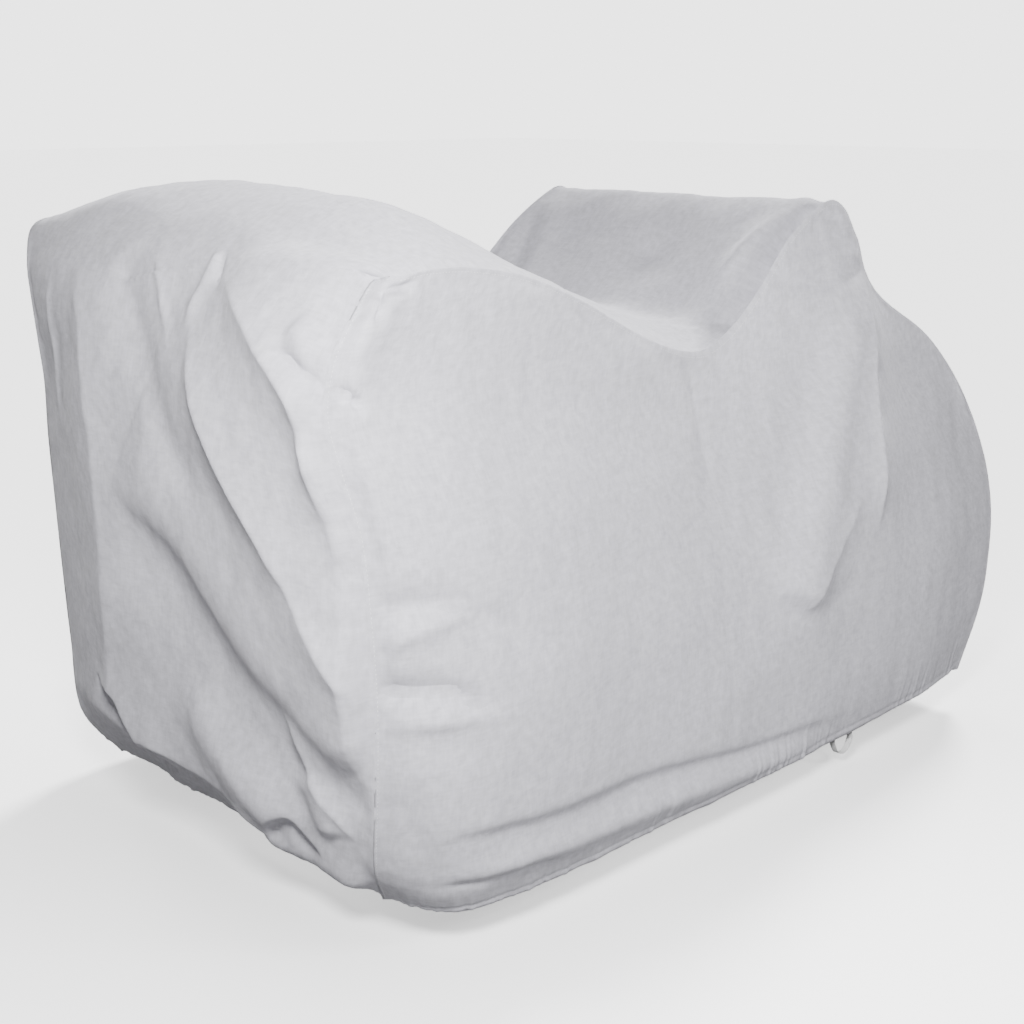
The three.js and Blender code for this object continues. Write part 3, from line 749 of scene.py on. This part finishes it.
def side_outer(side, creases, seed):
    """Outer side of a side panel, the ways out of its rim, and the lengths along and up the cloth."""
    shares = spaced(SIDE_COLUMNS, *SIDE_RUN_SPACING)
    rises = spaced(SIDE_ROWS, *SIDE_RISE_SPACING)
    run, rise = np.meshgrid(shares, rises, indexing="ij")
    plain = side_point(run, rise, side)
    normals = grid_normals(plain, -side)
    from_rear = np.linalg.norm(plain - plain[:1], axis=-1)
    from_front = np.linalg.norm(plain - plain[-1:], axis=-1)
    from_top = np.linalg.norm(plain - plain[:, -1:], axis=-1)
    from_hem = lengths_along(plain, 1)
    along_hem = lengths_along(plain, 0)
    x, z = plain[..., 0], plain[..., 2]
    calm = smooth_step(np.minimum(np.minimum(from_rear, from_front), from_top), 0, SEAM_CALM)
    height = creases_height(creases, x, z) + swell(x, z, SIDE_SWELL_LENGTHS, seed)
    height = calm * (height + hem_height(from_hem, along_hem[:, :1] + 0 * run, seed + SIDE_HEM_OFFSET))
    grid = plain + normals * height[..., None]
    if side < 0:
        grid = grid + ear_share((1 - rise) * EAR_AT, run * (NOSE_AT - EAR_AT)) * EAR_TUCK
    seams = (
        (from_rear, rises[None, :] * EAR_AT),
        (from_top, (EAR_AT + (NOSE_AT - EAR_AT) * shares)[:, None]),
        (from_front, (PANEL_END + (NOSE_AT - PANEL_END) * rises)[None, :]),
    )
    depths, ways, nearness = [], [], []
    for distance, at in seams:
        at = at + 0 * run
        grid = grid + normals * pucker(distance, at, seed + SIDE_PUCKER_OFFSET)[..., None]
        depths.append(seam_depth(distance, at))
        ways.append(seam_way_out(at, side))
        nearness.append(np.exp(-((distance / RIM_BLEND) ** 2)))
    deepest = np.argmin(np.stack(depths), axis=0)[None]
    depth = np.take_along_axis(np.stack(depths), deepest, 0)[0]
    way = np.take_along_axis(np.stack(ways), deepest[..., None], 0)[0]
    grid = grid + way * depth[..., None]
    out = grid_normals(grid, -side)
    weight = np.max(np.stack(nearness), axis=0)[..., None]
    out = unit(out * (1 - weight) + way * weight)
    every = slice(None)
    grid = move_edges_back(
        grid, [((0, every), (1, every)), ((-1, every), (-2, every)), ((every, -1), (every, -2))]
    )
    return grid, out, along_hem, from_hem


def tape_object(material):
    """Ribbed band that hangs in a loop from the near hem."""
    middle_x = (TAPE_REAR_X + TAPE_FRONT_X) / 2
    _, hem_half, hem_z = HEM[np.argmin(np.abs(HEM[:, 0] - middle_x))]
    bends = [(TAPE_REAR_X + ahead, hem_z + above) for ahead, above in TAPE_BENDS]
    ends = [(TAPE_REAR_X, hem_z + TAPE_TUCK), (TAPE_FRONT_X, hem_z + TAPE_TUCK)]
    points = np.array([ends[0], *bends, ends[1]], float)
    knots = chord_lengths(points)
    line = curve_through(points, knots, np.linspace(0, knots[-1], TAPE_STATIONS))
    tangent = unit(np.gradient(line, axis=0))
    normal = np.stack([-tangent[:, 1], tangent[:, 0]], -1)
    near_y = -hem_half + TAPE_INSET
    verts = []
    for way in (1, -1):
        for share in np.linspace(0, 1, TAPE_LINES):
            rib = TAPE_RIB_HEIGHT * math.cos(2 * math.pi * TAPE_RIBS * share)
            place = line + normal * way * (TAPE_THICKNESS / 2 + rib)
            y = np.full(len(line), near_y + share * TAPE_WIDTH)
            verts.append(np.stack([place[:, 0], y, place[:, 1]], -1))
    count = len(line)
    ring = list(range(TAPE_LINES)) + list(range(2 * TAPE_LINES - 1, TAPE_LINES - 1, -1))
    faces = []
    for k, near in enumerate(ring):
        far = ring[(k + 1) % len(ring)]
        for i in range(count - 1):
            faces.append((near * count + i, near * count + i + 1, far * count + i + 1, far * count + i))
    faces.append([near * count for near in ring])
    faces.append([near * count + count - 1 for near in reversed(ring)])
    verts = in_metres(np.concatenate(verts))
    mesh = bpy.data.meshes.new("tape_band")
    mesh.from_pydata(verts.tolist(), [], faces)
    mesh.materials.append(material)
    mesh.validate()
    mesh.update()
    mesh.set_sharp_from_angle(angle=math.radians(TAPE_SHARP_ANGLE))
    mesh.polygons.foreach_set("use_smooth", np.ones(len(mesh.polygons), bool))
    return placed("tape_band", mesh)


def stitches_object(name, grid, ways, material):
    """Row of thread stitches on a side panel beside its seam."""
    ring = STITCH_RING

    def beside_seam(values):
        rear = values[ring, :-ring]
        top = values[ring:-ring, -1 - ring]
        front = values[-1 - ring, -1 - ring::-1]
        return np.concatenate([rear, top, front])

    places, outs = beside_seam(grid), beside_seam(ways)
    lengths = chord_lengths(places)
    starts = np.arange(STITCH_PITCH, lengths[-1] - STITCH_PITCH, STITCH_PITCH)

    def at(where, values):
        return np.stack([np.interp(where, lengths, values[:, k]) for k in range(3)], -1)

    first = at(starts, places)
    last = at(starts + STITCH_LENGTH, places)
    middle = (first + last) / 2
    out = unit(at(starts + STITCH_LENGTH / 2, outs))
    across = unit(np.cross(last - first, out))
    corners = [
        first,
        last,
        middle + across * STITCH_WIDTH / 2,
        middle + out * STITCH_HEIGHT,
        middle - across * STITCH_WIDTH / 2,
        middle - out * STITCH_HEIGHT,
    ]
    verts = in_metres(np.stack(corners, 1).reshape(-1, 3))
    ends = [(0, 2, 3), (0, 3, 4), (0, 4, 5), (0, 5, 2), (1, 3, 2), (1, 4, 3), (1, 5, 4), (1, 2, 5)]
    faces = [tuple(len(corners) * k + v for v in face) for k in range(len(starts)) for face in ends]
    mesh = bpy.data.meshes.new(name)
    mesh.from_pydata(verts.tolist(), [], faces)
    mesh.materials.append(material)
    mesh.update()
    return placed(name, mesh)


def node(tree, kind, **values):
    made = tree.nodes.new(kind)
    for key, value in values.items():
        setattr(made, key, value)
    return made


def two_colours(tree, dark, light, share, shader):
    """Ramp between two colours that a pattern drives; returns its colour stops."""
    ramp = node(tree, "ShaderNodeValToRGB")
    ramp.color_ramp.elements[0].color = dark
    ramp.color_ramp.elements[1].color = light
    tree.links.new(share, ramp.inputs["Fac"])
    tree.links.new(ramp.outputs["Color"], shader.inputs["Base Color"])
    return ramp.color_ramp.elements


def new_material(name):
    """Material with its node tree and its shader."""
    material = bpy.data.materials.new(name)
    material.use_nodes = True
    return material, material.node_tree, material.node_tree.nodes["Principled BSDF"]


def add_bump(tree, shader, height, strength, distance):
    bump = node(tree, "ShaderNodeBump")
    bump.inputs["Strength"].default_value = strength
    bump.inputs["Distance"].default_value = distance
    tree.links.new(height, bump.inputs["Height"])
    tree.links.new(bump.outputs["Normal"], shader.inputs["Normal"])


def cloth_material():
    """Grey non-woven cloth with a fine mottle along and across the cut."""
    material, tree, shader = new_material("cover_cloth")
    shader.inputs["Roughness"].default_value = 0.88
    shader.inputs["Specular IOR Level"].default_value = 0.25
    shader.inputs["Sheen Weight"].default_value = 0.08
    shader.inputs["Sheen Roughness"].default_value = 0.5
    uv = node(tree, "ShaderNodeUVMap", uv_map="cut")

    def stretched_noise(scale, detail):
        mapping = node(tree, "ShaderNodeMapping")
        mapping.inputs["Scale"].default_value = scale
        noise = node(tree, "ShaderNodeTexNoise")
        noise.inputs["Scale"].default_value = 1.0
        noise.inputs["Detail"].default_value = detail
        tree.links.new(uv.outputs["UV"], mapping.inputs["Vector"])
        tree.links.new(mapping.outputs["Vector"], noise.inputs["Vector"])
        return noise.outputs["Fac"]

    def joined(operation, first, second):
        math_node = node(tree, "ShaderNodeMath", operation=operation)
        for socket, value in zip(math_node.inputs, (first, second)):
            if isinstance(value, (int, float)):
                socket.default_value = value
            else:
                tree.links.new(value, socket)
        return math_node.outputs[0]

    hatch = joined("ADD", stretched_noise(*WARP_NOISE), stretched_noise(*WEFT_NOISE))
    cloud = stretched_noise(*CLOUD_NOISE)
    fibre = stretched_noise(*FIBRE_NOISE)
    mottle = joined("ADD", joined("MULTIPLY", hatch, HATCH_COLOUR), joined("MULTIPLY", cloud, CLOUD_COLOUR))
    stops = two_colours(tree, CLOTH_DARK, CLOTH_LIGHT, mottle, shader)
    stops[0].position = MOTTLE_FROM
    stops[1].position = MOTTLE_TO
    height = joined("ADD", joined("MULTIPLY", hatch, HATCH_RELIEF), joined("MULTIPLY", fibre, FIBRE_RELIEF))
    add_bump(tree, shader, height, strength=0.25, distance=0.0012)
    return material


def tape_material():
    """White woven tape."""
    material, tree, shader = new_material("tape")
    shader.inputs["Roughness"].default_value = 0.8
    coords = node(tree, "ShaderNodeTexCoord")
    weave = node(tree, "ShaderNodeTexWave", bands_direction="DIAGONAL")
    weave.inputs["Scale"].default_value = TAPE_WEAVE_SCALE
    weave.inputs["Distortion"].default_value = 1.5
    tree.links.new(coords.outputs["Object"], weave.inputs["Vector"])
    two_colours(tree, TAPE_DARK, TAPE_LIGHT, weave.outputs["Fac"], shader)
    add_bump(tree, shader, weave.outputs["Fac"], strength=0.3, distance=0.0004)
    return material


def thread_material():
    """Pale sewing thread."""
    material, tree, shader = new_material("thread")
    shader.inputs["Roughness"].default_value = 0.6
    coords = node(tree, "ShaderNodeTexCoord")
    noise = node(tree, "ShaderNodeTexNoise")
    noise.inputs["Scale"].default_value = THREAD_SCALE
    tree.links.new(coords.outputs["Object"], noise.inputs["Vector"])
    two_colours(tree, THREAD_DARK, THREAD_LIGHT, noise.outputs["Fac"], shader)
    return material


cloth = cloth_material()
tape = tape_material()

centre_grid, centre_ways, centre_u, centre_v = centre_outer()
centre = cloth_object("centre_cloth", centre_grid, centre_ways, 1, cloth, centre_u, centre_v)
right_grid, right_ways, right_u, right_v = side_outer(-1, RIGHT_CREASES, RIGHT_SEED)
right = cloth_object("right_cloth", right_grid, right_ways, 1, cloth, right_u, right_v)
left_grid, left_ways, left_u, left_v = side_outer(1, LEFT_CREASES, LEFT_SEED)
left = cloth_object("left_cloth", left_grid, left_ways, -1, cloth, left_u, left_v)
band = tape_object(tape)
thread = thread_material()
right_thread = stitches_object("right_stitches", right_grid, right_ways, thread)
left_thread = stitches_object("left_stitches", left_grid, left_ways, thread)

for piece in (right_thread, left_thread):
    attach(piece, "root")
for piece, solid, slot in (
    (centre, "centre_panel", "cover_cloth"),
    (right, "side_panel_right", "cover_cloth"),
    (left, "side_panel_left", "cover_cloth"),
    (band, "tape_loop", "tape"),
):
    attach(piece, "root")
    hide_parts(solid)


def floor_object():
    """Pale floor whose glow, seen only by the camera, is dimmed under and beside the cover: a painted shadow.
    """
    corners = [(-1, -1), (1, -1), (1, 1), (-1, 1)]
    mesh = bpy.data.meshes.new("floor")
    mesh.from_pydata([(FLOOR_HALF * x, FLOOR_HALF * y, FLOOR_Z) for x, y in corners], [], [(0, 1, 2, 3)])
    material, tree, shader = new_material("floor")
    seen = node(tree, "ShaderNodeLightPath")
    two_colours(tree, FLOOR_SENT, FLOOR_SEEN, seen.outputs["Is Camera Ray"], shader)
    glow = node(tree, "ShaderNodeMath", operation="MULTIPLY")
    glow.inputs[1].default_value = FLOOR_GLOW
    tree.links.new(seen.outputs["Is Camera Ray"], glow.inputs[0])
    # Painted shadow: ambient occlusion dims the floor's glow under and beside the cover
    shade = node(tree, "ShaderNodeAmbientOcclusion", samples=FLOOR_SHADE_SAMPLES)
    shade.inputs["Distance"].default_value = FLOOR_SHADE_REACH
    glow_with_painted_shadow = node(tree, "ShaderNodeMath", operation="MULTIPLY")
    tree.links.new(glow.outputs[0], glow_with_painted_shadow.inputs[0])
    tree.links.new(shade.outputs["AO"], glow_with_painted_shadow.inputs[1])
    tree.links.new(glow_with_painted_shadow.outputs[0], shader.inputs["Emission Strength"])
    shader.inputs["Emission Color"].default_value = WHITE
    shader.inputs["Roughness"].default_value = 1.0
    shader.inputs["Specular IOR Level"].default_value = 0.0
    mesh.materials.append(material)
    return placed("floor", mesh)


def sun_light(name, azimuth, elevation, spread, strength):
    """Broad even light from a direction; azimuth 0 shines along +Y and 90 along -X."""
    data = bpy.data.lights.new(name, "SUN")
    data.angle = math.radians(spread)
    data.energy = strength
    light = placed(name, data)
    light.rotation_euler = (math.radians(90 - elevation), 0, math.radians(azimuth))


def soft_box(name, place, power):
    """Round soft light, BOX_SIZE across, that faces the cover's rear half."""
    data = bpy.data.lights.new(name, "AREA")
    data.shape = "DISK"
    data.size = BOX_SIZE
    data.energy = power
    light = placed(name, data)
    light.location = place
    way = Vector(BOX_AIM) - Vector(place)
    light.rotation_euler = way.to_track_quat("-Z", "Y").to_euler()
    light.visible_camera = False


def studio_world():
    """Pale backdrop that only the camera sees; all light comes from the lamps."""
    world = bpy.data.worlds.new("studio")
    world.use_nodes = True
    tree = world.node_tree
    dark = tree.nodes["Background"]
    dark.inputs["Color"].default_value = WHITE
    dark.inputs["Strength"].default_value = 0.0
    backdrop = node(tree, "ShaderNodeBackground")
    backdrop.inputs["Color"].default_value = WHITE
    backdrop.inputs["Strength"].default_value = BACKDROP_GLOW
    seen = node(tree, "ShaderNodeLightPath")
    either = node(tree, "ShaderNodeMixShader")
    tree.links.new(seen.outputs["Is Camera Ray"], either.inputs["Fac"])
    tree.links.new(dark.outputs["Background"], either.inputs[1])
    tree.links.new(backdrop.outputs["Background"], either.inputs[2])
    tree.links.new(either.outputs["Shader"], tree.nodes["World Output"].inputs["Surface"])
    return world


def photo_camera():
    """Camera at the photograph's angle."""
    data = bpy.data.cameras.new("camera")
    data.lens = CAMERA_LENS
    data.sensor_width = CAMERA_SENSOR
    camera = placed("camera", data)
    camera.location = CAMERA_PLACE
    camera.rotation_euler = (math.radians(90 - CAMERA_PITCH), 0, math.radians(CAMERA_AZIMUTH))
    return camera


floor_object()
for box in SOFT_BOXES:
    soft_box(*box)
for sun in SUNS:
    sun_light(*sun)
bpy.context.scene.world = studio_world()
bpy.context.scene.camera = photo_camera()
